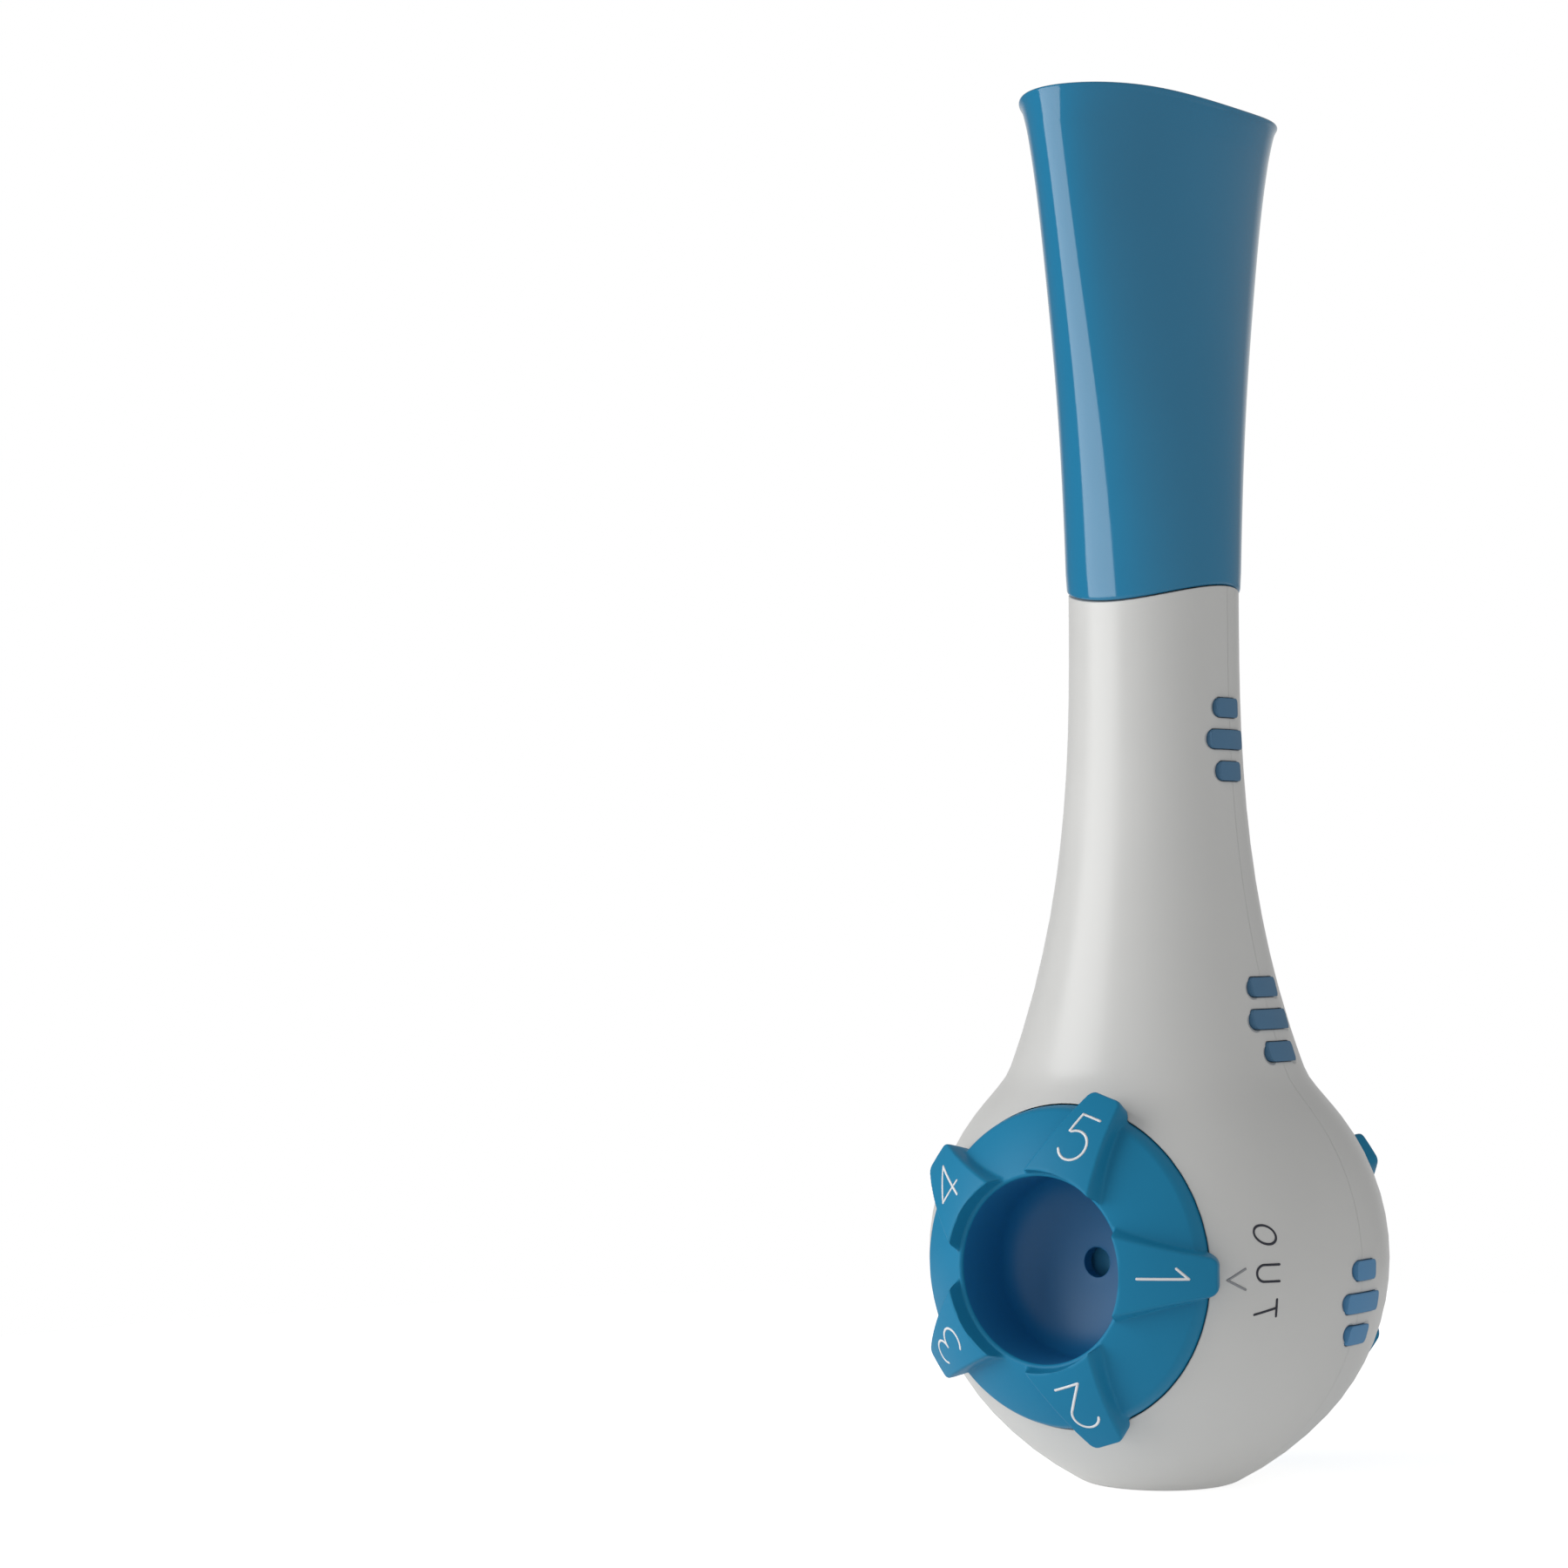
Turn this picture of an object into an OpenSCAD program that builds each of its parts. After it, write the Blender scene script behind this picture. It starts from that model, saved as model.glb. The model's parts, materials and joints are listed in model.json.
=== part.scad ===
// Hand-held breathing trainer: a round bulb with an exhale dial on the front and an
// inhale dial on the back, a slender neck and a pull-off mouthpiece.
// +Z runs up the long axis, the exhale dial faces -Y, and Z = 0 is the standing face.

/* [Bulb and base] */
// Radius of the round bulb
bulb_r = 25.8; // [25:0.2:28]
// How far the standing face lies inside the bulb's sphere
foot_cut = 0.3; // [0:0.1:1.2]
// Radius of the flatter arc that runs from the bulb into the base
base_arc_r = 37; // [34:0.5:44]
// Angle below the dials' axis where that arc starts
base_arc_start = 43; // [38:1:50]
// Rounding of the edge of the standing face
base_round = 4; // [2.5:0.5:5]
// Radius of the tighter arc that runs from the bulb up to the neck
crown_arc_r = 22.4; // [20:0.2:25]
// Angle over the dials' axis where that arc starts
crown_arc_start = 37; // [33:1:41]
// Wall of the two shells
wall = 1.8; // [1.4:0.1:2.2]

/* [Neck] */
// Radius of the neck where it is straight
neck_r = 9.6; // [9.3:0.1:11]
// How far the shoulder, where the flare is measured, lies under the sphere's top
shoulder_drop = 0.3; // [0:0.1:1]
// How far the neck flares out by the shoulder
neck_flare = 5.4; // [4.6:0.1:6.2]
// Straight length below the seam
neck_straight = 3.4; // [2:0.2:6]
// Width of the soft blend between bulb and neck
blend_w = 1.7; // [1:0.1:2.4]
// Height of the seam under the mouthpiece at its two high points
seam_z = 100.4; // [96:0.2:108]
// How far the seam dips towards the dials
seam_drop = 1.9; // [1:0.1:2.6]
// Gap at the seam
seam_gap = 0.2; // [0.1:0.05:0.4]

/* [Mouthpiece] */
// Height of the mouthpiece over the seam
mouth_h = 54.3; // [48:0.5:62]
// Radius at its lower end
mouth_low_r = 9.8; // [9.6:0.1:11]
// Half length of the lip, along the dials' axis
lip_a = 20.5; // [18:0.5:24]
// Half width of the lip
lip_b = 11.8; // [10.5:0.1:13]
// Wall of the mouthpiece
mouth_wall = 2; // [1.6:0.1:2.4]
// Height of the thickened lip
lip_h = 6; // [5:0.5:8]

/* [Airway] */
// Inner radius of the airway tube
airway_r = 5.8; // [5:0.1:6]
// Wall of the tube inside the neck
tube_wall = 1; // [0.8:0.1:1.1]
// Outer radius of the spigot that carries the mouthpiece
spigot_r = 7.6; // [7.2:0.1:7.7]
// Length of the spigot over the seam
spigot_h = 8.2; // [7:0.2:11]
// Length of the spigot's collar held in the neck
collar_h = 10; // [7:0.5:12]
// Radius of the locating flange
flange_r = 9.6; // [9:0.2:10.4]
// Thickness of the locating flange
flange_th = 1.6; // [1.2:0.1:2]
// Height of the flange over the shoulder
flange_rise = 1; // [0.5:0.1:2]
// Gap between the spigot and the mouthpiece's socket
spigot_gap = 0.08; // [0.04:0.01:0.1]

/* [Dials] */
// Radius of the dial's disc
disc_r = 17.4; // [17:0.1:18]
// Gap round the disc
edge_gap = 0.3; // [0.25:0.05:0.4]
// Thickness of the disc's skin
cap_th = 1.8; // [1.4:0.1:2]
// Inner radius of the cup
cup_r = 10.1; // [9.6:0.1:10.4]
// Wall of the cup
cup_wall = 1.5; // [1.3:0.1:1.7]
// Width of the flush lip round the cup
lip_w = 0.8; // [0.6:0.1:1.2]
// Rounding of the lip's inner edge
lip_round = 0.6; // [0.3:0.1:0.8]
// Thickness of the cup's floor
floor_th = 1.5; // [1.3:0.1:1.8]
// Fillet round the cup's floor
floor_fillet = 1.2; // [0.6:0.1:2]
// Radius of the outlet in the cup's floor
outlet_r = 1.65; // [1.2:0.05:2.5]
// Number of settings
settings = 5; // [3:1:5]
// Height of the fingers over the disc
finger_h = 2.8; // [1.4:0.1:3.2]
// Reach of a finger from the dial's axis
finger_tip_r = 20.1; // [19:0.1:20.6]
// Half width of a finger beside the cup
finger_root_w = 4.4; // [3.8:0.1:4.8]
// Half width of a finger at its tip
finger_tip_w = 2.2; // [1.8:0.1:3]
// Lean of a finger's side walls
finger_draft = 20; // [5:1:22]
// Corner radius of a finger's tip
finger_corner = 0.9; // [0.4:0.1:1.2]
// Clearance of a finger's overhanging tip over the bulb
finger_clear = 0.35; // [0.3:0.05:0.5]

/* [Dial bearing] */
// Running clearance of the cup's wall in its bearing
run_fit = 0.08; // [0.05:0.01:0.1]
// Wall of the bearing tube
bearing_wall = 1.6; // [1.4:0.1:2]
// Radius of the snap bead round the cup's wall
bead_r = 0.35; // [0.25:0.05:0.4]
// Clearance of the bead in its groove
bead_fit = 0.1; // [0.08:0.01:0.15]
// Depth of the seal's groove
groove_depth = 0.8; // [0.6:0.05:0.9]
// Play at each side of the seal in its groove
groove_play = 0.15; // [0.1:0.05:0.2]
// Thickness of the web behind the dial
web_th = 1.6; // [1.2:0.1:2]
// Wall round the dial's recess
rim_th = 1.7; // [1.4:0.1:2]
// Depth of the space behind the disc's edge
detent_space = 2; // [1.9:0.1:2.4]

/* [Metering and valves] */
// Radius at which port and metering holes lie
port_pitch_r = 7; // [6.8:0.1:7.2]
// Radius of the fixed port
port_r = 1.8; // [1.75:0.05:1.9]
// Radius of the widest metering hole
meter_max_r = 1.7; // [1.4:0.05:1.75]
// Radius of the narrowest metering hole
meter_min_r = 0.8; // [0.5:0.05:1]
// Thickness of the metering disc
meter_th = 1.2; // [1:0.1:1.4]
// Height of the outlet chamber between metering disc and cup floor
chamber_h = 1.4; // [1.2:0.1:1.6]
// Height of the metering disc's locating ring
locating_h = 0.8; // [0.5:0.1:1]
// Running gap between metering disc and port plate
face_gap = 0.3; // [0.25:0.05:0.4]
// Thickness of the port plate
plate_th = 1.6; // [1.4:0.1:1.8]
// Width of the port's face seal
seal_w = 0.8; // [0.6:0.1:0.9]
// Depth of the seal's groove in the port plate
seal_depth = 0.7; // [0.5:0.1:0.8]
// Half depth of the space between the two valves
plenum_half = 3.4; // [3.2:0.1:3.8]
// Height of the valve chamber
valve_h = 2; // [1.9:0.1:2.2]
// Thickness of the valve disc
flap_th = 0.8; // [0.6:0.1:0.9]
// Gap that keeps the valve disc off flat faces at each end of its travel
flap_gap = 0.05; // [0.03:0.01:0.08]
// Height of the stand-offs that the valve disc opens against
nub_h = 0.3; // [0.2:0.05:0.35]
// Thickness of the valve seat
seat_th = 1.6; // [1.4:0.1:1.8]
// Width of the seat's upright rim
seat_rim_w = 1.3; // [1:0.1:1.5]
// Width of the shoulder that the valve seat stands on
shoulder_w = 1; // [0.7:0.1:1.3]
// Radius of the valve's guide pin
guide_r = 1.2; // [1:0.1:1.4]
// Number of flow holes in the valve seat
flow_holes = 6; // [5:1:6]
// Radius of a flow hole
flow_hole_r = 1.6; // [1.2:0.1:1.8]
// Clearance of the fixed plates in the bearing tube
seat_fit = 0.05; // [0.03:0.01:0.08]
// Width of the key that stops the fixed plates from turning
key_w = 1.2; // [1:0.1:1.6]
// Height of that key
key_h = 0.8; // [0.6:0.1:0.9]

/* [Click spring] */
// Width of the ring of clicks
click_w = 2; // [1.6:0.1:2.2]
// Angle of the spring round the dial
click_angle = 36; // [30:1:42]
// Thickness of the spring's leaf
leaf_th = 0.35; // [0.3:0.05:0.4]
// Rise of the leaf at its middle
leaf_rise = 0.6; // [0.5:0.05:0.7]
// Half length of the leaf
leaf_half = 4.5; // [4:0.1:5]
// Radius of the leaf's nose
nose_r = 0.7; // [0.5:0.05:0.7]
// Gap between the spring and the ring of clicks
click_gap = 0.22; // [0.2:0.02:0.3]

/* [Grips] */
// Height of one pad
pad_h = 2.15; // [1.8:0.05:2.4]
// Spacing of the pads in a group
pad_pitch = 3.55; // [3.2:0.05:4]
// Corner radius of a pad
pad_corner = 0.55; // [0.3:0.05:0.8]
// How far a pad stands proud of the shell
pad_proud = 0.3; // [0.2:0.05:0.5]
// Clearance of a pad in its window
pad_fit = 0.08; // [0.05:0.01:0.15]
// Thickness of the strip behind the pads
strip_th = 0.9; // [0.7:0.05:0.9]
// Border of the strip round the pads
strip_border = 0.9; // [0.6:0.1:1.2]
// Gap between the strip and the shell's inside
strip_gap = 0.05; // [0.04:0.01:0.1]
// Depth of the dished ends of the windows
dish_depth = 0.4; // [0.2:0.05:0.6]
// How far the upper group's middle lies under the seam
upper_grip_drop = 17.2; // [16:0.2:20]
// How far the middle group's middle lies over the shoulder
middle_grip_rise = 1.1; // [0.5:0.1:2]
// How far the lower group's middle lies under the dials' axis
lower_grip_drop = 4.1; // [3:0.1:6]
// Widths of the outer pads, upper to lower group
end_pad_w = [4.1, 5.6, 4.4];
// Widths of the inner pads, upper to lower group
mid_pad_w = [6.1, 7.6, 7.2];
// How far each group sits behind the parting line, upper to lower
grip_shift = [-0.4, 0.4, 0.7];

/* [Assembly] */
// Radius of a locating peg between the shells
peg_r = 1.1; // [0.9:0.1:1.3]
// Length of a locating peg
peg_len = 3; // [2:0.2:4]
// Clearance of a peg in its socket
peg_fit = 0.05; // [0.03:0.01:0.1]
// Wall round a peg
peg_wall = 1.3; // [1:0.1:1.6]
// Distance of the pegs from the shell's inside
peg_inset = 2; // [1.6:0.1:2.6]
// Angle of the pegs over and under the dials' axis
peg_angle = 45; // [40:1:50]
// Length of a peg's boss
boss_len = 8; // [6:0.5:10]
// Thickness of the ribs that hold the airway tube
rib_th = 1.4; // [1.2:0.1:1.8]
// Clearance between the airway tube and what holds it
tube_fit = 0.05; // [0.03:0.01:0.08]
// Half width of the slot from the plenum into the airway
slot_half = 6; // [5:0.2:6.5]
// Section radius of the mouthpiece's seal
mouth_seal_r = 0.55; // [0.45:0.05:0.6]
// Clearance that leaves each seal just short of its bore
seal_gap = 0.02; // [0.01:0.01:0.03]

/* [Hidden] */

$fn = 96;
// Overrun of a cut past the face it opens
over = 0.5;
SHELL = [0.68, 0.68, 0.67];
BLUE = [0.18, 0.46, 0.62];
PAD = [0.27, 0.43, 0.54];
CLEAR = [0.8, 0.83, 0.85];
SILICONE = [0.9, 0.88, 0.82];
RUBBER = [0.12, 0.12, 0.13];
STEEL = [0.75, 0.76, 0.78];

// Numbers of flats in the curved outlines
round_steps = 4;
base_steps = 4;
bulb_steps = 15;
blend_steps = 9;
neck_steps = 12;
// Exponent of the neck's flare
neck_curve_share = 2.65;

// Height of the dials' axis, at the bulb's centre
axis_z = bulb_r - foot_cut;
shoulder_z = axis_z + bulb_r - shoulder_drop;
neck_straight_z = seam_z - neck_straight;
blend_low_z = axis_z + bulb_r * sin(crown_arc_start);
crown_x = (bulb_r - crown_arc_r) * cos(crown_arc_start);
crown_z = axis_z + (bulb_r - crown_arc_r) * sin(crown_arc_start);
seam_arc_r = (neck_r * neck_r + seam_drop * seam_drop) / (2 * seam_drop);
top_z = seam_z + mouth_h;

// Levels along a dial's axis, out from the bulb's centre
seat_top_t = plenum_half + seat_th;
plate_low_t = seat_top_t + valve_h;
plate_top_t = plate_low_t + plate_th;
meter_low_t = plate_top_t + face_gap;
meter_top_t = meter_low_t + meter_th;
floor_low_t = meter_top_t + chamber_h;
floor_t = floor_low_t + floor_th;
lip_t = sqrt(pow(bulb_r, 2) - pow(cup_r + lip_w, 2));
cap_edge_t = sqrt(pow(bulb_r - cap_th, 2) - pow(disc_r, 2));
recess_t = cap_edge_t - detent_space;
leaf_top_t = recess_t + leaf_rise + leaf_th;

journal_r = cup_r + cup_wall;
bearing_r = journal_r + run_fit;
bearing_out_r = bearing_r + bearing_wall;
plate_r = bearing_r - seat_fit;
recess_r = disc_r + edge_gap;
recess_out_r = recess_r + rim_th;
// Radius of the ring of clicks, midway between the bearing and the recess's wall
click_r = (bearing_r + recess_r) / 2;
bead_t = (floor_t + recess_t) / 2;
groove_r = journal_r - groove_depth;
dial_seal_r = (bearing_r - groove_r) / 2 - seal_gap;
dial_seal_t = (floor_t + floor_low_t) / 2;
peg_pitch_r = bulb_r - wall - peg_inset;
// Clearance round the valve disc's edge and its guide pin
flap_clear = 0.35;
flap_r = plate_r - seat_rim_w - flap_clear;
guide_hole_r = guide_r + flap_clear;
// Radius of a stand-off nub and of the circle of nubs
nub_r = 0.6;
nub_pitch_r = (guide_hole_r + port_pitch_r - port_r) / 2;
flow_pitch_r = (guide_r + plate_r - seat_rim_w) / 2;

tube_r = airway_r + tube_wall;
tube_low_z = axis_z + bearing_out_r + over;
flange_z = shoulder_z + flange_rise;
spigot_top_z = seam_z + spigot_h;
mouth_seal_z = seam_z + spigot_h / 2;
socket_r = spigot_r + spigot_gap;
// Depth left under the mouthpiece's seal and room over the spigot's end
mouth_groove_r = socket_r - 2 * (mouth_seal_r + seal_gap);
socket_room = 0.4;
collar_z = seam_z - collar_h;
// Wall round the socket that takes the lower end of the tube, and its height
socket_wall = 1.5;
socket_h = 4;
// Heights of the plain ribs, as shares of the way from the shoulder to the collar
rib_shares = [0.32, 0.6];

// Mouthpiece: share of its height, share of the growth to the lip along Y and along X
mouth_outer_shares = [
    [0, 0, 0], [0.12, 0.05, 0], [0.26, 0.165, -0.05], [0.4, 0.295, -0.1],
    [0.535, 0.475, -0.15], [0.675, 0.66, -0.15], [0.81, 0.81, -0.1], [0.88, 0.905, 0.05],
    [0.927, 0.955, 0.26], [0.962, 1, 0.7], [0.985, 1, 1], [0.996, 0.96, 0.82],
    [1, 0.9, 0.5]
];
// Airway in the lip: share of the lip's height, share of the widening to its rim
lip_inner_shares = [[1, 1], [0.95, 0.62], [0.8, 0.3], [0.5, 0.08], [0, 0]];
// Airway below the lip: share of the way up from the socket, share of the widening
passage_shares = [[1, 1], [0.8, 0.9], [0.6, 0.71], [0.4, 0.49], [0.2, 0.24], [0, 0]];
mouth_sides = 40;

function smooth_max(a, b, k) =
    let (h = max(k - abs(a - b), 0) / k) max(a, b) + h * h * k / 4;

function bulb_at(z, d) =
    z < axis_z + (bulb_r - d) * sin(crown_arc_start)
        ? sqrt(max(0, pow(bulb_r - d, 2) - pow(z - axis_z, 2)))
        : crown_x + sqrt(max(0, pow(crown_arc_r - d, 2) - pow(z - crown_z, 2)));

function neck_at(z, d) =
    let (u = max(0, neck_straight_z - z) / (neck_straight_z - shoulder_z))
    neck_r - d + neck_flare * pow(u, neck_curve_share);

// Radius of the body at height z, inset by d
function body_r(z, d) =
    z < blend_low_z ? bulb_at(z, d) : smooth_max(bulb_at(z, d), neck_at(z, d), blend_w);

// Outline of the body from base to top_end, inset by d
function body_outline(d, top_end) =
    let (
        low_z = max(0, d),
        arc_r = base_arc_r - d,
        arc_x = -(base_arc_r - bulb_r) * cos(base_arc_start),
        arc_z = axis_z + (base_arc_r - bulb_r) * sin(base_arc_start),
        round_r = max(0, base_round - d),
        round_z = low_z + round_r,
        low_angle = asin((round_z - arc_z) / (arc_r - round_r)),
        round_x = arc_x + (arc_r - round_r) * cos(low_angle)
    )
    concat(
        [[0, low_z]],
        [for (i = [0 : round_steps - 1])
            let (t = -90 + (90 + low_angle) * i / round_steps)
            if (round_r > 0) [round_x + round_r * cos(t), round_z + round_r * sin(t)]],
        [for (i = [0 : base_steps - 1])
            let (t = low_angle + (-base_arc_start - low_angle) * i / base_steps)
            [arc_x + arc_r * cos(t), arc_z + arc_r * sin(t)]],
        [for (i = [0 : bulb_steps])
            let (t = -base_arc_start + (crown_arc_start + base_arc_start) * i / bulb_steps)
            [(bulb_r - d) * cos(t), axis_z + (bulb_r - d) * sin(t)]],
        [for (i = [1 : blend_steps])
            let (z = blend_low_z + (shoulder_z - blend_low_z) * i / blend_steps)
            [body_r(z, d), z]],
        [for (i = [1 : neck_steps])
            let (z = shoulder_z + (top_end - shoulder_z) * i / neck_steps)
            [body_r(z, d), z]],
        [[0, top_end]]
    );

// Ring of the body's wall between two insets and two heights
function band_outline(z0, z1, d_out, d_in, steps) =
    concat(
        [for (i = [0 : steps]) let (z = z0 + (z1 - z0) * i / steps) [body_r(z, d_out), z]],
        [for (i = [steps : -1 : 0]) let (z = z0 + (z1 - z0) * i / steps) [body_r(z, d_in), z]]
    );

// Local frame of a dial: +Z out of the bulb, +X towards the pointer; side 0 is the front
module on_side(side) {
    translate([0, 0, axis_z]) rotate([90, 0, 180 * side]) children();
}

module ring(r_out, r_in, z0, z1) {
    difference() {
        translate([0, 0, z0]) cylinder(h = z1 - z0, r = r_out);
        translate([0, 0, z0 - over]) cylinder(h = z1 - z0 + 2 * over, r = r_in);
    }
}

// Rectangle with true round corners, centred on the origin
module rounded_rect(w, h, r) {
    square([w - 2 * r, h], center = true);
    square([w, h - 2 * r], center = true);
    for (sx = [-1, 1], sy = [-1, 1])
        translate([sx * (w / 2 - r), sy * (h / 2 - r)]) circle(r = r, $fn = 32);
}

// Everything under the wavy seam, a saddle that is low towards the dials
module under_seam(grow) {
    translate([0, 0, seam_z - seam_arc_r]) rotate([0, 90, 0])
        cylinder(h = 4 * bulb_r, r = seam_arc_r + grow, center = true);
}

module body_solid() {
    intersection() {
        rotate_extrude() polygon(body_outline(0, seam_z));
        union() {
            under_seam(0);
            translate([-2 * bulb_r, -2 * bulb_r, -over])
                cube([4 * bulb_r, 4 * bulb_r, seam_z - seam_arc_r + over]);
        }
    }
}

grip_z = [seam_z - upper_grip_drop, shoulder_z + middle_grip_rise, axis_z - lower_grip_drop];
strip_in = wall + strip_gap;
strip_steps = 14;

// Width of pad i, counted down from 0 to 2, in group g
function pad_w(g, i) = i == 1 ? mid_pad_w[g] : end_pad_w[g];
function pad_z(g, i) = grip_z[g] + (1 - i) * pad_pitch;

// Upright of a pad's outline, run along X through the wall on the right
module pad_bar(g, i, grow, depth) {
    r0 = body_r(pad_z(g, i), depth);
    translate([r0 - over - strip_th, grip_shift[g], pad_z(g, i)]) rotate([90, 0, 90])
        linear_extrude(depth + pad_h + over + strip_th)
            rounded_rect(pad_w(g, i) + 2 * grow, pad_h + 2 * grow, pad_corner + grow);
}

// Shallow dish at one end of a pad's window
module pad_dish(g, i, end) {
    half_h = pad_h / 2;
    dish_r = (half_h * half_h + dish_depth * dish_depth) / (2 * dish_depth);
    r0 = body_r(pad_z(g, i), 0);
    y0 = grip_shift[g] + end * (pad_w(g, i) / 2 - pad_corner / 2);
    rotate([0, 0, asin(y0 / r0)]) translate([r0 + dish_r - dish_depth, 0, pad_z(g, i)])
        sphere(r = dish_r, $fn = 48);
}

module pad_windows(g) {
    for (i = [0 : 2]) {
        pad_bar(g, i, pad_fit, wall);
        pad_dish(g, i, -1);
        pad_dish(g, i, 1);
    }
}

function strip_low(g) = pad_z(g, 2) - pad_h / 2 - strip_border;
function strip_high(g) = pad_z(g, 0) + pad_h / 2 + strip_border;

// Layer of the strip behind a group's pads, between two insets from the body's outside
module strip_layer(g, grow, d_out, d_in) {
    intersection() {
        rotate_extrude() polygon(band_outline(strip_low(g) - grow, strip_high(g) + grow,
                                              d_out, d_in, strip_steps));
        translate([0, grip_shift[g], grip_z[g]]) rotate([90, 0, 90])
            linear_extrude(2 * bulb_r)
                rounded_rect(mid_pad_w[g] + 2 * (strip_border + grow),
                             strip_high(g) - strip_low(g) + 2 * grow,
                             pad_corner + strip_border / 2);
    }
}

module grip(g, turned) {
    color(PAD) rotate([0, 0, 180 * turned]) {
        intersection() {
            rotate_extrude() polygon(band_outline(strip_low(g), strip_high(g), -pad_proud,
                                                  strip_in + strip_th / 2, strip_steps));
            union() {
                for (i = [0 : 2]) pad_bar(g, i, 0, strip_in);
            }
        }
        strip_layer(g, 0, strip_in, strip_in + strip_th);
    }
}

// Web round the airway tube, cut back behind the grips' strips
module tube_rib(z) {
    difference() {
        translate([0, 0, z]) cylinder(h = rib_th, r = body_r(z, wall / 2));
        for (g = [0 : 2], turn = [0, 180]) rotate([0, 0, turn])
            strip_layer(g, strip_gap, -over, strip_in + strip_th + strip_gap);
    }
}

// One shell, on the exhale side. Its twin is the same moulding turned half round.
module shell_inside() {
    difference() {
        body_solid();
        rotate_extrude() polygon(body_outline(wall, collar_z));
    }
    translate([0, 0, axis_z]) rotate([90, 0, 0]) {
        cylinder(h = recess_t, r = bearing_out_r);
        translate([0, 0, recess_t - web_th]) cylinder(h = bulb_r, r = recess_out_r);
        for (sx = [-1, 1], sy = [-1, 1])
            translate([sx * peg_pitch_r * cos(peg_angle), sy * peg_pitch_r * sin(peg_angle), 0])
                cylinder(h = boss_len, r = peg_r + peg_wall);
    }
    translate([0, 0, axis_z + bearing_r]) cylinder(
        h = tube_low_z + socket_h - axis_z - bearing_r, r = tube_r + tube_fit + socket_wall);
    tube_rib(flange_z - rib_th - tube_fit);
    tube_rib(flange_z + flange_th + tube_fit);
    for (s = rib_shares) tube_rib(flange_z + (collar_z - flange_z) * s);
}

// What is taken out for the dial and the valve stack
module shell_bores() {
    translate([0, 0, axis_z]) rotate([90, 0, 0]) {
        translate([0, 0, -over]) cylinder(h = bulb_r, r = bearing_r - shoulder_w);
        translate([0, 0, plenum_half]) difference() {
            cylinder(h = bulb_r, r = bearing_r);
            rotate([0, 0, -90]) translate([bearing_r - key_h, -key_w / 2, -over])
                cube([key_h + over, key_w, plate_top_t - plenum_half + over]);
        }
        translate([0, 0, recess_t]) cylinder(h = bulb_r, r = recess_r);
        rotate_extrude() translate([journal_r, bead_t]) circle(r = bead_r + bead_fit, $fn = 32);
        for (sy = [-1, 1])
            translate([-peg_pitch_r * cos(peg_angle), sy * peg_pitch_r * sin(peg_angle), -over])
                cylinder(h = peg_len + 2 * over, r = peg_r + peg_fit, $fn = 32);
    }
    translate([0, 0, tube_low_z]) cylinder(h = top_z, r = tube_r + tube_fit);
    translate([0, 0, collar_z]) cylinder(h = top_z, r = spigot_r + tube_fit);
    translate([-slot_half, -plenum_half, axis_z])
        cube([2 * slot_half, 2 * plenum_half, tube_low_z - axis_z + over]);
}

module shell(side) {
    color(SHELL) rotate([0, 0, 180 * side]) {
        difference() {
            intersection() {
                shell_inside();
                body_solid();
                translate([-2 * bulb_r, -2 * bulb_r, -over])
                    cube([4 * bulb_r, 2 * bulb_r, top_z + over]);
            }
            shell_bores();
            for (g = [0 : 2]) {
                pad_windows(g);
                rotate([0, 0, 180]) pad_windows(g);
            }
        }
        for (sy = [-1, 1])
            translate([peg_pitch_r * cos(peg_angle), 0, axis_z + sy * peg_pitch_r * sin(peg_angle)])
                rotate([90, 0, 0]) translate([0, 0, -peg_len])
                    cylinder(h = peg_len + over, r = peg_r, $fn = 32);
    }
}

module front_shell() shell(0);
module rear_shell() shell(1);

module airway_tube() {
    color(CLEAR) rotate_extrude() difference() {
        polygon([
            [airway_r, tube_low_z], [tube_r, tube_low_z],
            [tube_r, flange_z], [flange_r, flange_z],
            [flange_r, flange_z + flange_th], [tube_r, flange_z + flange_th],
            [tube_r, collar_z + tube_fit], [spigot_r, collar_z + tube_fit],
            [spigot_r, spigot_top_z - seat_fit - spigot_gap], [spigot_r - tube_wall / 2, spigot_top_z],
            [airway_r, spigot_top_z]
        ]);
        translate([mouth_groove_r, mouth_seal_z - mouth_seal_r - groove_play])
            square([spigot_r, 2 * (mouth_seal_r + groove_play)]);
    }
}

module mouthpiece_oring() {
    color(RUBBER) rotate_extrude() translate([mouth_groove_r + mouth_seal_r + seal_gap, mouth_seal_z])
        circle(r = mouth_seal_r, $fn = 32);
}

function oval_ring(a, b, z) =
    [for (i = [0 : mouth_sides - 1])
        let (t = 360 * i / mouth_sides) [b * cos(t), a * sin(t), z]];

mouth_low_z = seam_z - seam_drop - over;
socket_top_z = spigot_top_z + socket_room;
// The passage's oval where the lip starts, and at the rim
passage_top_z = top_z - lip_h;
// Flare of the passage out to the rim
lip_growth = 0.9;
passage_a = lip_a - mouth_wall - mouth_wall / 2;
passage_b = lip_b - mouth_wall - 2 * lip_growth;
// How far the airway's rim lies under the lip's crest
lip_top_share = 0.03;

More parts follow.
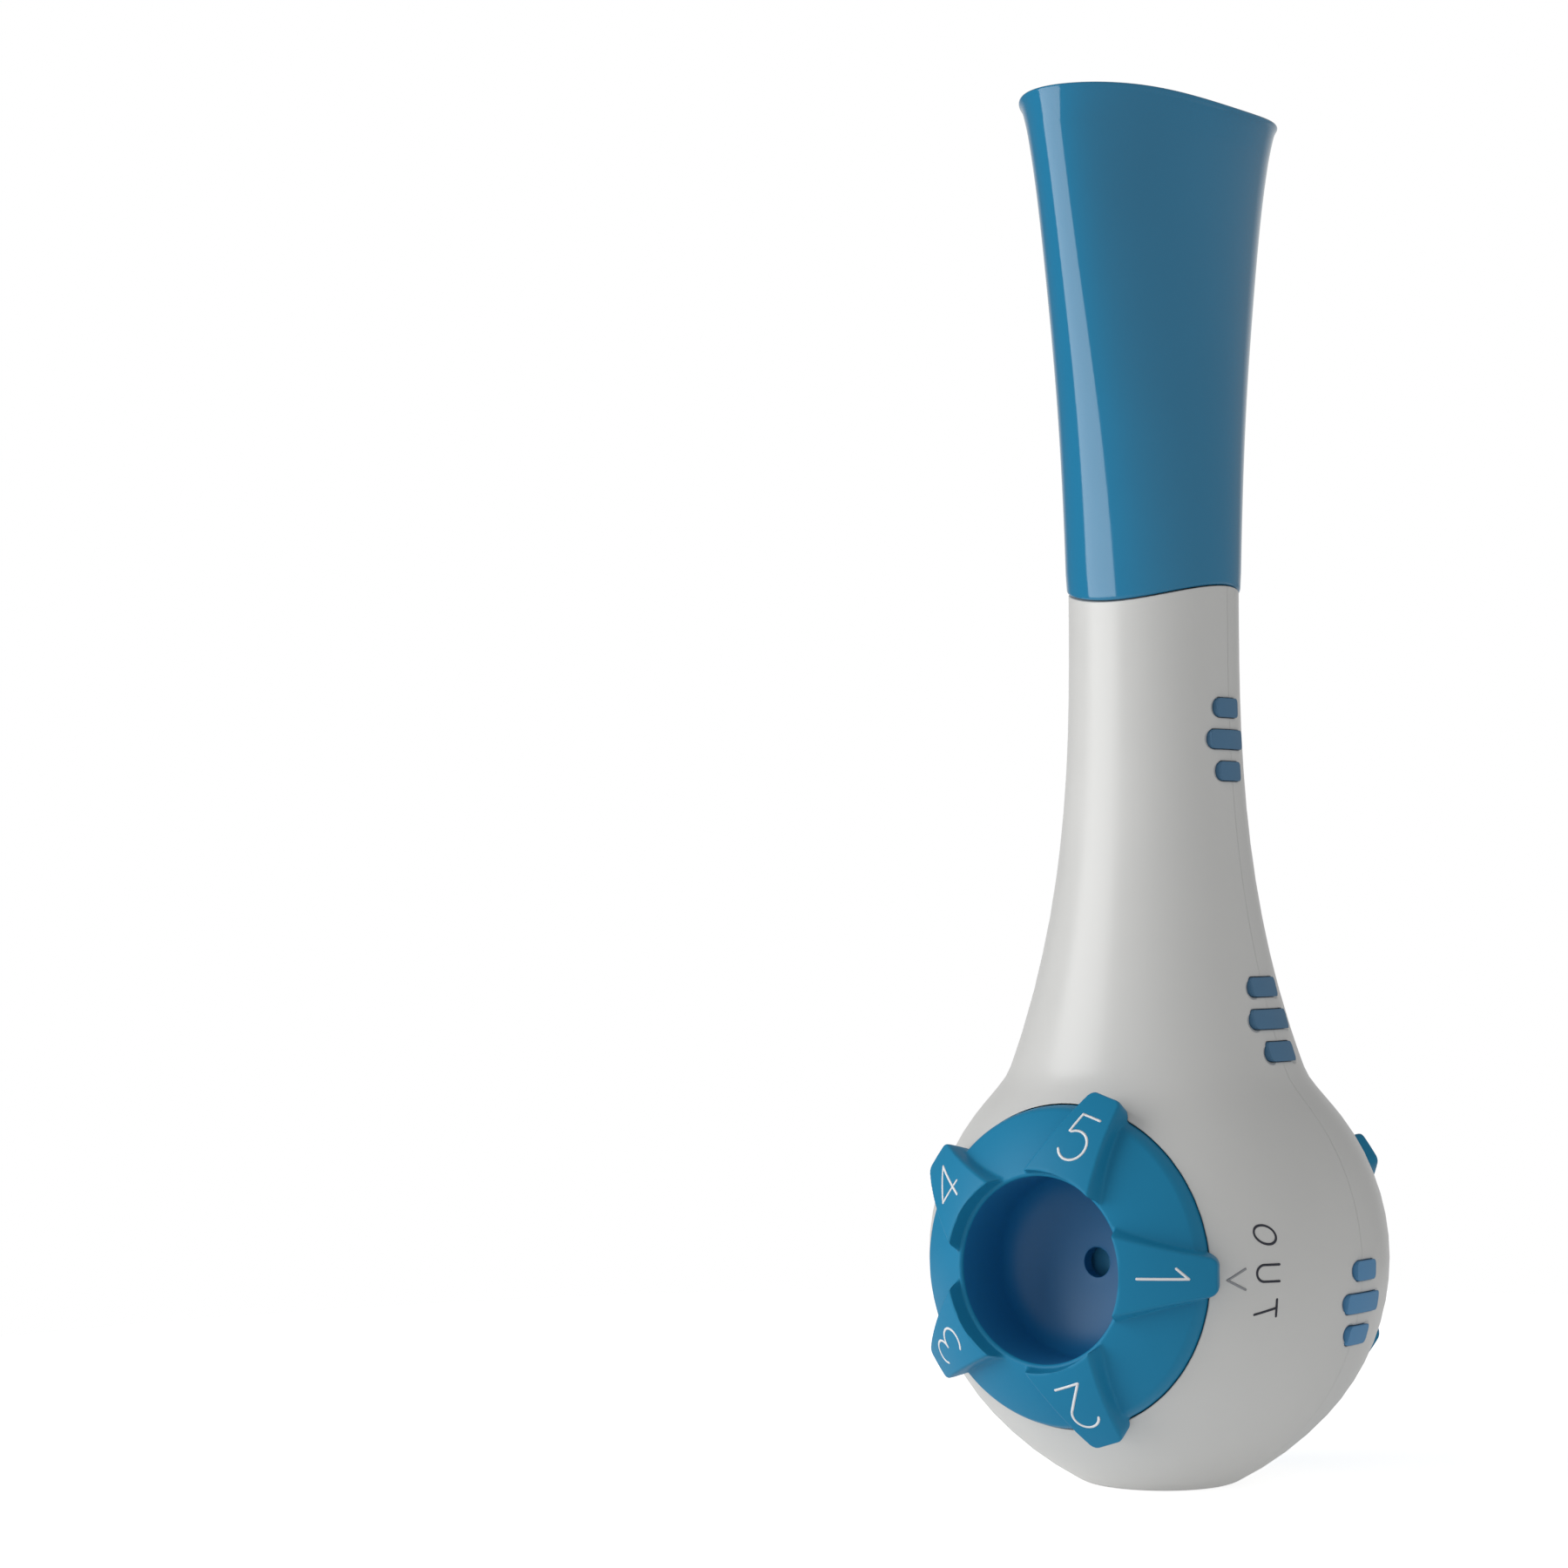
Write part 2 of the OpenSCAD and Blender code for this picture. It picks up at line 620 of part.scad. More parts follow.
// Closed skin of the mouthpiece: up its outside, over the lip and down the airway
module mouth_skin() {
    h = top_z - mouth_low_z;
    outer = [for (s = mouth_outer_shares)
        oval_ring(mouth_low_r + (lip_a - mouth_low_r) * s[1],
                  mouth_low_r + (lip_b - mouth_low_r) * s[2], mouth_low_z + h * s[0])];
    lip = [for (s = lip_inner_shares)
        oval_ring(passage_a + lip_growth * s[1], passage_b + lip_growth * s[1],
                  passage_top_z + lip_h * (s[0] - lip_top_share))];
    passage = [for (i = [1 : len(passage_shares) - 1]) let (s = passage_shares[i])
        oval_ring(airway_r + (passage_a - airway_r) * s[1],
                  airway_r + (passage_b - airway_r) * s[1],
                  socket_top_z + (passage_top_z - socket_top_z) * s[0])];
    rings = concat(outer, lip, passage, [oval_ring(airway_r, airway_r, socket_top_z - over)]);
    n = mouth_sides;
    last = len(rings) - 1;
    polyhedron(
        points = [for (r = rings) each r],
        faces = concat(
            [[for (i = [0 : n - 1]) i]],
            [for (k = [0 : last - 1]) for (i = [0 : n - 1])
                let (a = k * n + i, b = k * n + (i + 1) % n)
                each [[a, a + n, b], [b, a + n, b + n]]],
            [[for (i = [n - 1 : -1 : 0]) last * n + i]]
        ),
        convexity = 6
    );
}

module mouthpiece() {
    color(BLUE) difference() {
        mouth_skin();
        under_seam(seam_gap);
        translate([0, 0, mouth_low_z - over])
            cylinder(h = socket_top_z - mouth_low_z + over, r = socket_r);
    }
}

// Rise of the lip's crown over the level of its outer edge
lip_drop = sqrt(pow(bulb_r, 2) - pow(cup_r + lip_round, 2)) - lip_t;

// Half section of the dial without its fingers
module dial_section() {
    difference() {
        union() {
            intersection() {
                difference() {
                    circle(r = bulb_r);
                    circle(r = bulb_r - cap_th);
                }
                square([disc_r, bulb_r]);
            }
            intersection() {
                circle(r = bulb_r);
                translate([0, meter_top_t]) square([journal_r, bulb_r]);
            }
            translate([journal_r, bead_t]) circle(r = bead_r, $fn = 32);
            intersection() {
                circle(r = bulb_r - cap_th / 2);
                translate([click_r - click_w / 2, leaf_top_t + click_gap])
                    square([click_w, bulb_r]);
            }
        }
        difference() {
            translate([-over, floor_t]) square([cup_r + over, bulb_r]);
            translate([cup_r - floor_fillet, floor_t - over])
                square([floor_fillet + over, floor_fillet + over]);
        }
        translate([cup_r - floor_fillet, floor_t + floor_fillet]) circle(r = floor_fillet, $fn = 48);
        translate([-over, -over]) square([outlet_r + over, bulb_r]);
        translate([-over, -over]) square([cup_r + over, floor_low_t + over]);
        translate([groove_r, dial_seal_t - dial_seal_r - groove_play])
            square([cup_wall + over, 2 * (dial_seal_r + groove_play)]);
        difference() {
            translate([cup_r - over, lip_t + lip_drop - lip_round])
                square([over + lip_round, bulb_r]);
            translate([cup_r + lip_round, lip_t + lip_drop - lip_round])
                circle(r = lip_round, $fn = 48);
        }
    }
}

// Half section of the layer that the fingers are cut from
module finger_section() {
    intersection() {
        difference() {
            circle(r = bulb_r + finger_h);
            circle(r = bulb_r - cap_th / 2);
        }
        translate([cup_r + lip_w, 0]) square([disc_r - cup_r - lip_w, 2 * bulb_r]);
    }
    intersection() {
        difference() {
            circle(r = bulb_r + finger_h);
            circle(r = bulb_r + finger_clear);
        }
        translate([disc_r - over, 0]) square([bulb_r, 2 * bulb_r]);
    }
}

// One leaning corner post of a finger
module finger_post(r, w) {
    low = bulb_r - cap_th;
    high = bulb_r + finger_h + over;
    for (s = [-1, 1])
        translate([0, s * (w - finger_corner), 0]) rotate([0, asin(r / (bulb_r + finger_h)), 0])
            translate([0, 0, low])
                cylinder(h = high - low, r1 = finger_corner + (high - over - low) * tan(finger_draft),
                         r2 = finger_corner - over * tan(finger_draft), $fn = 24);
}

module finger() {
    taper = (finger_root_w - finger_tip_w) / (finger_tip_r - cup_r - lip_w);
    root_r = cup_r - cup_wall;
    hull() {
        finger_post(root_r, finger_root_w + (cup_r + lip_w - root_r) * taper);
        finger_post(finger_tip_r - finger_corner, finger_tip_w);
    }
}

module dial(side) {
    color(BLUE) on_side(side) difference() {
        union() {
            rotate_extrude() dial_section();
            intersection() {
                rotate_extrude() finger_section();
                for (k = [0 : settings - 1]) rotate([0, 0, -k * 360 / settings]) finger();
            }
            rotate([0, 0, 180]) translate([cup_r - key_h, -key_w / 2, meter_top_t])
                cube([key_h + cup_wall / 2, key_w, floor_low_t + over - meter_top_t]);
        }
        for (k = [0 : settings - 1]) rotate([0, 0, click_angle - k * 360 / settings])
            translate([click_r - click_w / 2 - over, 0, leaf_top_t]) rotate([0, 90, 0])
                cylinder(h = click_w + 2 * over, r = nose_r + click_gap, $fn = 32);
    }
}

module dial_oring(side) {
    color(RUBBER) on_side(side) rotate_extrude()
        translate([groove_r + dial_seal_r + seal_gap, dial_seal_t])
            circle(r = dial_seal_r, $fn = 32);
}

// Radius of metering hole k, from the widest at the first setting to the narrowest
function meter_r(k) = meter_max_r + (meter_min_r - meter_max_r) * k / (settings - 1);

module metering_disc(side) {
    locating_r = cup_r - seat_fit;
    color(CLEAR) on_side(side) difference() {
        union() {
            translate([0, 0, meter_low_t]) cylinder(h = meter_th, r = journal_r - run_fit);
            ring(locating_r, locating_r - key_h, meter_top_t - over, meter_top_t + locating_h);
        }
        for (k = [0 : settings - 1]) rotate([0, 0, -k * 360 / settings])
            translate([port_pitch_r, 0, meter_low_t - over])
                cylinder(h = meter_th + 2 * over, r = meter_r(k), $fn = 48);
        rotate([0, 0, 180])
            translate([locating_r - key_h - over, -key_w / 2 - seat_fit, meter_top_t])
                cube([key_h + 2 * over, key_w + 2 * seat_fit, locating_h + over]);
    }
}

// Notch for the bearing's key, through a fixed plate
module key_notch(z0, z1) {
    rotate([0, 0, -90]) translate([bearing_r - key_h - seat_fit, -key_w / 2 - seat_fit, z0 - over])
        cube([key_h + over, key_w + 2 * seat_fit, z1 - z0 + 2 * over]);
}

module nubs(z, h) {
    for (k = [0 : 2]) rotate([0, 0, 60 + 120 * k]) translate([nub_pitch_r, 0, z])
        cylinder(h = h, r = nub_r, $fn = 32);
}

module port_plate(side) {
    color(CLEAR) on_side(side) difference() {
        union() {
            translate([0, 0, plate_low_t]) cylinder(h = plate_th, r = plate_r);
            if (side == 0) nubs(plate_low_t - nub_h, nub_h + over);
        }
        translate([port_pitch_r, 0, plate_low_t - over])
            cylinder(h = plate_th + 2 * over, r = port_r, $fn = 48);
        translate([port_pitch_r, 0, 0]) ring(port_r + seal_w + seat_fit, port_r,
                                            plate_top_t - seal_depth, plate_top_t + over);
        key_notch(plate_low_t, plate_top_t);
    }
}

module port_seal(side) {
    color(SILICONE) on_side(side) translate([port_pitch_r, 0, 0])
        ring(port_r + seal_w, port_r + seat_fit, plate_top_t - seal_depth,
             plate_top_t + face_gap - flap_gap);
}

// Inner plate of the valve, with its guide pin and the rim that carries the port plate
module valve_plate(side) {
    color(CLEAR) on_side(side) difference() {
        union() {
            translate([0, 0, plenum_half]) cylinder(h = seat_th, r = plate_r);
            ring(plate_r, plate_r - seat_rim_w, seat_top_t - over, plate_low_t);
            translate([0, 0, seat_top_t - over])
                cylinder(h = over + valve_h - flap_gap - nub_h, r = guide_r, $fn = 32);
            if (side == 1) nubs(seat_top_t - over, nub_h + over);
        }
        for (k = [0 : flow_holes - 1]) rotate([0, 0, k * 360 / flow_holes])
            translate([flow_pitch_r, 0, plenum_half - over])
                cylinder(h = seat_th + 2 * over, r = flow_hole_r, $fn = 48);
        key_notch(plenum_half, plate_low_t);
    }
}

// The exhale disc rests on the inner plate, the inhale disc against the port plate
module valve_disc(side) {
    low = side == 0 ? seat_top_t + flap_gap : plate_low_t - flap_gap - flap_th;
    color(SILICONE) on_side(side) ring(flap_r, guide_hole_r, low, low + flap_th);
}

module click_spring(side) {
    foot = leaf_half / 4;
    color(STEEL) on_side(side) rotate([0, 0, click_angle])
        translate([click_r - click_w / 2, 0, recess_t]) {
            rotate([90, 0, 90]) linear_extrude(click_w) polygon([
                [-leaf_half, 0], [-leaf_half + foot, 0], [-foot, leaf_rise], [foot, leaf_rise],
                [leaf_half - foot, 0], [leaf_half, 0], [leaf_half, leaf_th],
                [leaf_half - foot, leaf_th], [foot, leaf_rise + leaf_th],
                [-foot, leaf_rise + leaf_th], [-leaf_half + foot, leaf_th], [-leaf_half, leaf_th]
            ]);
            translate([0, 0, leaf_rise + leaf_th]) rotate([0, 90, 0]) intersection() {
                cylinder(h = click_w, r = nose_r, $fn = 32);
                translate([-2 * nose_r, -nose_r, 0])
                    cube([2 * nose_r + leaf_th / 2, 2 * nose_r, click_w]);
            }
        }
}

front_shell();
rear_shell();
airway_tube();
mouthpiece();
mouthpiece_oring();
grip(0, 0);  // upper_grip_right
grip(0, 1);  // upper_grip_left
grip(1, 0);  // middle_grip_right
grip(1, 1);  // middle_grip_left
grip(2, 0);  // lower_grip_right
grip(2, 1);  // lower_grip_left
dial(0);  // exhale_dial
dial_oring(0);  // exhale_dial_oring
metering_disc(0);  // exhale_metering_disc
port_plate(0);  // exhale_port_plate
port_seal(0);  // exhale_port_seal
valve_plate(0);  // exhale_valve_seat
valve_disc(0);  // exhale_valve_disc
click_spring(0);  // exhale_click_spring
dial(1);  // inhale_dial
dial_oring(1);  // inhale_dial_oring
metering_disc(1);  // inhale_metering_disc
port_plate(1);  // inhale_port_plate
port_seal(1);  // inhale_port_seal
valve_plate(1);  // inhale_valve_stop
valve_disc(1);  // inhale_valve_disc
click_spring(1);  // inhale_click_spring
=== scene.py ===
"""Looks of a hand-held breathing trainer: satin grey body, blue mouthpiece and dials, soft pads."""
import json
import math

import bpy
from mathutils import Matrix, Vector


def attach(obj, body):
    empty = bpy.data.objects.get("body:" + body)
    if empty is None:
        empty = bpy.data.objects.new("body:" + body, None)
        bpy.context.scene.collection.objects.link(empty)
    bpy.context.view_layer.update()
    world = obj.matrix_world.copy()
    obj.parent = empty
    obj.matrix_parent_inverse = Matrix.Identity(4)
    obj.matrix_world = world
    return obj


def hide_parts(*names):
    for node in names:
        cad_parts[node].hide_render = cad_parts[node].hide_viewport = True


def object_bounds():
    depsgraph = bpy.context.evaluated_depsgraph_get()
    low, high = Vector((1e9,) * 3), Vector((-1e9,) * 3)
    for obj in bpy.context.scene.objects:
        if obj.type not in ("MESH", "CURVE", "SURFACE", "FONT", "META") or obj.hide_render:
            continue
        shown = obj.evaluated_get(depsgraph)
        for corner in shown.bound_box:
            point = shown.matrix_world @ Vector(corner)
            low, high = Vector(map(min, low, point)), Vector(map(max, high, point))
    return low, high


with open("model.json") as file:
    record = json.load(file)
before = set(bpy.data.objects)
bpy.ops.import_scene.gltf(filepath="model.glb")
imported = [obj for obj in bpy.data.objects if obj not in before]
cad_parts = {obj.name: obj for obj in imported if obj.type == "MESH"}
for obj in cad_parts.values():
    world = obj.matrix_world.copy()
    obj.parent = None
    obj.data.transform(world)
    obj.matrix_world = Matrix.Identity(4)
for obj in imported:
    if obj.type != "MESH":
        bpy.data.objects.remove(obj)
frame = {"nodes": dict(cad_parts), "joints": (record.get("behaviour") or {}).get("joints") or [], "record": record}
cad_low, cad_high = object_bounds()
nodes = frame["nodes"]

MM = 0.001
QUARTER = math.pi / 2
# The two sides, and the hinge of each side's dial, whose axis points out of the bulb
SIDES = ("exhale", "inhale")
HINGES = {joint["child"]: joint for joint in frame["joints"] if joint["type"] == "hinge"}

# Photograph: picture width, focal length and the place of the eye, which stands round from the front
PHOTO_PX = 1800
FOCAL_PX = 4444
SENSOR_MM = 36.0
EYE_AZIMUTH = math.radians(31.0)
EYE_DISTANCE = 440 * MM
EYE_HEIGHT = 65 * MM
CAMERA_YAW = math.radians(5.474)
CAMERA_PITCH = math.radians(1.782)
CAMERA_ROLL = math.radians(-0.235)
CLIP_START = 10 * MM

# Sizes of the CAD model that the two skins and the printed marks follow.
# A name that ends in _T is a distance from the bulb's centre along a dial's axis.
BULB_R = 25.8 * MM
CENTRE = Vector((0, 0, HINGES["exhale_dial"]["pos_m"][2]))
SETTINGS = 5
CUP_R = 10.1 * MM
JOURNAL_R = 11.6 * MM
DISC_R = 17.4 * MM
CAP_TH = 1.8 * MM
FLOOR_T = 13 * MM
FLOOR_LOW_T = 11.5 * MM
METER_TOP_T = 10.1 * MM
OUTLET_R = 1.65 * MM
FINGER_H = 2.8 * MM
FINGER_TOP_R = BULB_R + FINGER_H
FINGER_ROOT_R = CUP_R + 0.8 * MM
FINGER_TIP_R = 20.1 * MM
FINGER_ROOT_W = 4.4 * MM
FINGER_TIP_W = 2.2 * MM
FINGER_CLEAR = 0.35 * MM
SEAM_Z = 100.4 * MM
SEAM_DROP = 1.9 * MM
NECK_R = 9.6 * MM
SOCKET_R = 7.68 * MM
SOCKET_TOP_Z = 109 * MM
AIRWAY_R = 5.8 * MM
MOUTH_LOW_R = 9.8 * MM
MOUTH_LOW_Z = SEAM_Z - SEAM_DROP - 0.5 * MM
MOUTH_TOP_Z = cad_high[2]
MOUTH_WALL = 2 * MM
LIP_A = 20.5 * MM
LIP_B = 11.8 * MM
LIP_H = 6 * MM
LIP_GROWTH = 0.9 * MM

# Angle between two faces from which their edge is sharp, on a CAD node and on a skin
CAD_CREASE = math.radians(24)
SKIN_CREASE = math.radians(40)
# Points of a CAD node that lie closer than this are one
MERGE_DISTANCE = 0.0005 * MM


def smooth_step(x):
    """Rises from 0 at 0 to 1 at 1 with level ends."""
    x = min(1, max(0, x))
    return x * x * (3 - 2 * x)


def collection_link(obj):
    bpy.context.scene.collection.objects.link(obj)
    return obj


def mesh_object(name, points, faces, material):
    mesh = bpy.data.meshes.new(name)
    mesh.from_pydata([tuple(p) for p in points], [], faces)
    mesh.validate()
    mesh.update()
    mesh.materials.append(material)
    mesh.polygons.foreach_set("use_smooth", [True] * len(mesh.polygons))
    return collection_link(bpy.data.objects.new(name, mesh))


def grid_faces(rows, columns, closed=True):
    """Quads between neighbouring rings of points; closed joins the last ring to the first."""
    faces = []
    for row in range(rows if closed else rows - 1):
        here, there = row * columns, (row + 1) % rows * columns
        for k in range(columns):
            nxt = (k + 1) % columns
            faces.append((here + k, here + nxt, there + nxt, there + k))
    return faces


# Materials

# Range of a noise that is spread over a tone or a gloss, and the stops of a tone's ramp
NOISE_LOW, NOISE_HIGH = 0.3, 0.7
TINT_STOPS = (0.35, 0.65)
GRAIN_DETAIL = 3
PATCH_DETAIL = 4
GRAIN_DEPTH = 0.05 * MM
EDGE_SAMPLES = 6


def noise(tree, scale, detail):
    coords = tree.nodes.new("ShaderNodeTexCoord")
    tex = tree.nodes.new("ShaderNodeTexNoise")
    tex.inputs["Scale"].default_value = scale
    tex.inputs["Detail"].default_value = detail
    tree.links.new(coords.outputs["Object"], tex.inputs["Vector"])
    return tex.outputs["Fac"]


def remap(tree, value, low, high, from_low=NOISE_LOW, from_high=NOISE_HIGH):
    node = tree.nodes.new("ShaderNodeMapRange")
    node.inputs["From Min"].default_value = from_low
    node.inputs["From Max"].default_value = from_high
    node.inputs["To Min"].default_value = low
    node.inputs["To Max"].default_value = high
    tree.links.new(value, node.inputs["Value"])
    return node.outputs["Result"]


def tinted(tree, value, dark, light):
    ramp = tree.nodes.new("ShaderNodeValToRGB")
    for stop, place, color in zip(ramp.color_ramp.elements, TINT_STOPS, (dark, light)):
        stop.position = place
        stop.color = (*color, 1)
    tree.links.new(value, ramp.inputs["Fac"])
    return ramp.outputs["Color"]


def moulded(name, color, roughness, spread=0.05, tone=0.03, grain=2500, bump=0.02, patch=60, edge=0.2 * MM,
            **sockets):
    """Moulded plastic or rubber: fine grain, soft patches of tone and of gloss."""
    material = bpy.data.materials.new(name)
    material.use_nodes = True
    tree = material.node_tree
    shader = tree.nodes["Principled BSDF"]
    fine = noise(tree, grain, GRAIN_DETAIL)
    broad = noise(tree, patch, PATCH_DETAIL)
    dark = [c * (1 - tone) for c in color]
    light = [min(1, c * (1 + tone)) for c in color]
    tree.links.new(tinted(tree, broad, dark, light), shader.inputs["Base Color"])
    tree.links.new(remap(tree, broad, roughness - spread, roughness + spread), shader.inputs["Roughness"])
    # Moulded edges are never knife sharp
    soft_edge = tree.nodes.new("ShaderNodeBevel")
    soft_edge.samples = EDGE_SAMPLES
    soft_edge.inputs["Radius"].default_value = edge
    bumps = tree.nodes.new("ShaderNodeBump")
    bumps.inputs["Strength"].default_value = bump
    bumps.inputs["Distance"].default_value = GRAIN_DEPTH
    tree.links.new(fine, bumps.inputs["Height"])
    tree.links.new(soft_edge.outputs["Normal"], bumps.inputs["Normal"])
    tree.links.new(bumps.outputs["Normal"], shader.inputs["Normal"])
    for socket, value in sockets.items():
        shader.inputs[socket.replace("_", " ")].default_value = value
    return material


def srgb(r, g, b):
    """Linear colour of an 8-bit screen colour."""
    return [((c / 255 + 0.055) / 1.055) ** 2.4 if c > 10 else c / 255 / 12.92 for c in (r, g, b)]


SHELL = moulded("shell_plastic", srgb(207, 207, 205), 0.32, tone=0.015, bump=0.05, patch=45)
MOUTH_BLUE = moulded("mouthpiece_plastic", srgb(28, 119, 159), 0.09, spread=0.015, tone=0.02, bump=0.01)
DIAL_BLUE = moulded("dial_plastic", srgb(29, 124, 164), 0.42, spread=0.03, tone=0.025, bump=0.04,
                    Specular_IOR_Level=0.15)
# Inside each cup the dial's blue is painted darker: painted shade of the cup's hollow
CUP_PAINTED_SHADE_BLUE = moulded("dial_cup_painted_shade", srgb(26, 108, 158), 0.45, spread=0.03, tone=0.025, bump=0.04)
# Paler blue for the metering disc deep in the outlet: painted light against the shade there
METER_PAINTED_LIGHT_BLUE = moulded("metering_painted_light", srgb(70, 165, 215), 0.4, tone=0.025)
PAD_BLUE = moulded("grip_elastomer", srgb(72, 116, 150), 0.6, tone=0.05, grain=1800, bump=0.12)
# The pads on the bulb are a lighter copy of the pad colour: painted light
LOW_PAD_PAINTED_LIGHT_BLUE = moulded("lower_grip_painted_light_elastomer", srgb(78, 138, 184), 0.55, tone=0.05, grain=1800, bump=0.12)
NATURAL = moulded("natural_plastic", srgb(205, 208, 208), 0.4, Transmission_Weight=0.2)
SILICONE = moulded("silicone", srgb(220, 216, 205), 0.5, Subsurface_Weight=0.2)
RUBBER = moulded("black_rubber", srgb(30, 30, 32), 0.5)
STEEL = moulded("spring_steel", srgb(200, 200, 204), 0.3, Metallic=1.0)
WHITE_INK = moulded("white_ink", srgb(238, 240, 242), 0.45)
DARK_INK = moulded("dark_ink", srgb(44, 46, 58), 0.5)
PALE_INK = moulded("pale_ink", srgb(152, 154, 158), 0.5)

SLOT_MATERIALS = {
    "shell_plastic": SHELL, "mouthpiece_plastic": MOUTH_BLUE, "dial_plastic": DIAL_BLUE,
    "grip_elastomer": PAD_BLUE, "natural_plastic": NATURAL, "silicone": SILICONE,
    "black_rubber": RUBBER, "spring_steel": STEEL,
}


# CAD nodes: finish, true normals and soft edges

def mark_sharp_edges(mesh, limit):
    """Flags the sharp edges of a mesh whose faces of different surfaces don't share vertices."""
    def key(v):
        return tuple(round(c / MERGE_DISTANCE) for c in mesh.vertices[v].co)

    keys = [key(v) for v in range(len(mesh.vertices))]
    sides = {}
    for polygon in mesh.polygons:
        for a, b in polygon.edge_keys:
            pair = tuple(sorted((keys[a], keys[b])))
            sides.setdefault(pair, []).append(polygon.normal)
    cos_limit = math.cos(limit)
    flags = []
    for edge in mesh.edges:
        found = sides.get(tuple(sorted((keys[edge.vertices[0]], keys[edge.vertices[1]]))), [])
        flags.append(len(found) != 2 or found[0].dot(found[1]) < cos_limit)
    mesh.edges.foreach_set("use_edge_sharp", flags)


def dress(node, material):
    obj = nodes[node]
    mesh = obj.data
    if mesh.has_custom_normals:
        with bpy.context.temp_override(object=obj, active_object=obj, selected_objects=[obj]):
            bpy.ops.mesh.customdata_custom_splitnormals_clear()
    mesh.polygons.foreach_set("use_smooth", [True] * len(mesh.polygons))
    mark_sharp_edges(mesh, CAD_CREASE)
    mesh.materials.clear()
    mesh.materials.append(material)
    weld = obj.modifiers.new("weld", "WELD")
    weld.merge_threshold = MERGE_DISTANCE


for row in frame["record"]["subparts"]:
    dress(row["node"], SLOT_MATERIALS[row["material_slot"]])
# Through a dial's outlet its metering disc shows in a paler blue, painted light that lifts the shade in the
# outlet, and the pads on the bulb get a lighter copy of the pad colour, painted light
for side in SIDES:
    nodes[f"{side}_metering_disc"].data.materials[0] = METER_PAINTED_LIGHT_BLUE
# The lower pads take the lighter copy, painted light
for flank in ("right", "left"):
    nodes[f"lower_grip_{flank}"].data.materials[0] = LOW_PAD_PAINTED_LIGHT_BLUE


# Mouthpiece: the CAD form with a finer skin, soft edges and a dip in the lip's long sides

# Shares of the height, and of the growth of the two half axes, up the outside
OUTER_SHARES = [
    (0, 0, 0), (0.12, 0.05, 0), (0.26, 0.165, -0.05), (0.4, 0.295, -0.1),
    (0.535, 0.475, -0.15), (0.675, 0.66, -0.15), (0.81, 0.81, -0.1), (0.88, 0.905, 0.05),
    (0.927, 0.955, 0.26), (0.96, 0.965, 0.55), (0.985, 0.985, 0.8), (0.996, 1, 1), (1, 0.985, 0.93),
]
# Shares of the height and of the growth inside the lip, and down the passage below it
LIP_SHARES = [(1, 1), (0.95, 0.62), (0.8, 0.3), (0.5, 0.08), (0, 0)]
PASSAGE_SHARES = [(0.8, 0.9), (0.6, 0.71), (0.4, 0.49), (0.2, 0.24), (0, 0)]
PASSAGE_A = LIP_A - 1.5 * MOUTH_WALL
PASSAGE_B = LIP_B - MOUTH_WALL - 2 * LIP_GROWTH
PASSAGE_TOP_Z = MOUTH_TOP_Z - LIP_H
# How far the rim's inner edge lies below its outer one, as a share of the lip's height
RIM_FALL = 0.03
MOUTH_SIDES = 160
PATH_STEPS = 5
# Shares of the outside, from below, that are faired; the lip above them keeps its form
FAIR_SHARES = 8
FAIR_PASSES = 40
# How far the middle of the lip's long sides dips below its ends, and where the dip fades out
LIP_DIP = 0.95 * MM
LIP_DIP_POWER = 5
DIP_START_Z = 138 * MM
# Gap over the body's seam, and the rounded edge above it, which ends below the skin's first point
SEAM_GAP = 0.1 * MM
SEAM_CORNER = 0.6 * MM
CORNER_STEPS = 7
SKIN_START_Z = SEAM_Z + SEAM_CORNER + 1 * MM


def smooth_path(points, steps):
    """Centripetal curve through points of any dimension."""
    pts = [Vector(p) for p in points]
    out = []
    for i in range(len(pts) - 1):
        p1, p2 = pts[i], pts[i + 1]
        before = pts[i - 1] if i else p1 * 2 - p2
        after = pts[i + 2] if i + 2 < len(pts) else p2 * 2 - p1
        gaps = [math.sqrt((b - a).length) for a, b in ((before, p1), (p1, p2), (p2, after))]
        m1 = (p1 - before) / gaps[0] - (p2 - before) / (gaps[0] + gaps[1]) + (p2 - p1) / gaps[1]
        m2 = (p2 - p1) / gaps[1] - (after - p1) / (gaps[1] + gaps[2]) + (after - p2) / gaps[2]
        for k in range(steps):
            t = k / steps
            out.append(
                p1 * (2 * t**3 - 3 * t**2 + 1) + m1 * gaps[1] * (t**3 - 2 * t**2 + t)
                + p2 * (3 * t**2 - 2 * t**3) + m2 * gaps[1] * (t**3 - t**2)
            )
    return [*out, pts[-1]]


def faired(path, first, last, passes):
    """Path whose points between first and last are relaxed so that highlights run smoothly."""
    pts = list(path)
    for _ in range(passes):
        pts[first:last] = [(pts[i - 1] + pts[i] * 2 + pts[i + 1]) / 4 for i in range(first, last)]
    return pts


def seam_height(y):
    """Height of the mouthpiece's lower edge, which follows the wave of the body's seam."""
    radius = (NECK_R**2 + SEAM_DROP**2) / (2 * SEAM_DROP)
    return SEAM_Z - radius + math.sqrt((radius + SEAM_GAP) ** 2 - y * y)


def lip_dip(x, z):
    """How far the lip lies lower there than on its ends."""
    rise = smooth_step((z - DIP_START_Z) / (MOUTH_TOP_Z - DIP_START_Z))
    return LIP_DIP * abs(x / LIP_B) ** LIP_DIP_POWER * rise


